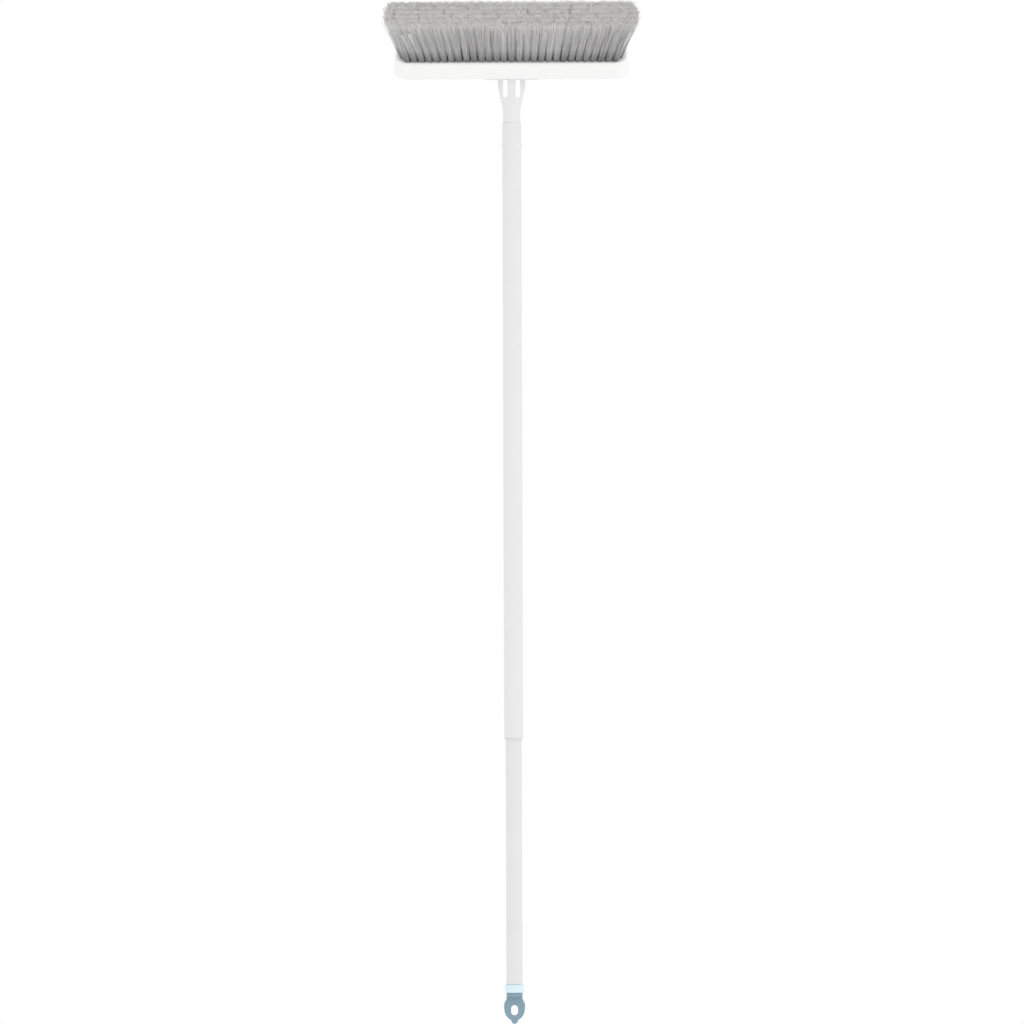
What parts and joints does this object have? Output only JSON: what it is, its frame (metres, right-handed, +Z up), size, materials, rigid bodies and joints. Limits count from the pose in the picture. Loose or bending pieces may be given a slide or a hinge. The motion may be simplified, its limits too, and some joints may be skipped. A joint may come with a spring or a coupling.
{
  "type": "pool brush",
  "caption": "Wide tilted pool brush with flared grey bristle rows on a white telescopic pole that twist-locks, with spring-clip buttons and a turning blue hang loop.",
  "frame": {"origin": "on the pole's axis at the lower mouth of the outer tube, where a hand grips the pole", "axes": "+Z up the pole towards the brush head, X along the head, the bristles face up and towards -Y"},
  "size_m": [0.42, 0.1216, 1.686],
  "materials": {
    "white_plastic": "white moulded plastic, semi-gloss",
    "white_tube": "thin aluminium tube, white powder coat",
    "grey_bristle": "pale grey nylon filaments",
    "black_plastic": "dark moulded plastic, matt",
    "pale_blue_plastic": "pale blue moulded plastic",
    "slate_blue_plastic": "slate blue moulded plastic",
    "steel": "bright steel"
  },
  "bodies": {
    "brush_and_outer_pole": {"brush_block": "white_plastic", "bristle_row_1": "grey_bristle", "bristle_row_2": "grey_bristle", "bristle_row_3": "grey_bristle", "bristle_row_4": "grey_bristle", "bristle_row_5": "grey_bristle", "bristle_row_6": "grey_bristle", "bracket_screw_1": "steel", "bracket_screw_2": "steel", "bracket_screw_3": "steel", "bracket_screw_4": "steel", "handle_bracket": "white_plastic", "clip_bend": "steel", "outer_tube": "white_tube", "mouth_bush": "white_plastic"},
    "right_clip": {"right_clip_arm": "steel", "right_clip_button": "white_plastic"},
    "left_clip": {"left_clip_arm": "steel", "left_clip_button": "white_plastic"},
    "lock_ring": {"lock_ring": "white_plastic"},
    "inner_pole": {"inner_tube": "white_tube", "lock_plug": "black_plastic", "lock_washer": "steel", "lock_screw": "steel", "lock_pin": "steel", "end_cap": "pale_blue_plastic", "cap_pin": "steel"},
    "hang_loop": {"hang_loop": "slate_blue_plastic", "loop_washer": "steel", "loop_screw": "steel"}
  },
  "joints": [
    {"name": "pole_slide", "type": "slide", "parent": "brush_and_outer_pole", "child": "lock_ring", "axis": [0, 0, 1], "range_m": [-0.34, 0.39]},
    {"name": "lock_twist", "type": "hinge", "parent": "lock_ring", "child": "inner_pole", "pos_m": [0, 0, 0.494], "axis": [0, 0, 1], "range_deg": [0, 60]},
    {"name": "loop_swivel", "type": "hinge", "parent": "inner_pole", "child": "hang_loop", "pos_m": [0, 0, -0.4203], "axis": [0, 0, 1], "continuous": true},
    {"name": "right_clip_press", "type": "hinge", "parent": "brush_and_outer_pole", "child": "right_clip", "pos_m": [0.0045, 0, 1.045], "axis": [0, 1, 0], "range_deg": [0, 2.5], "stiffness_Nm_per_rad": 0.5},
    {"name": "left_clip_press", "type": "hinge", "parent": "brush_and_outer_pole", "child": "left_clip", "pos_m": [-0.0045, 0, 1.045], "axis": [0, -1, 0], "range_deg": [0, 2.5], "stiffness_Nm_per_rad": 0.5}
  ]
}
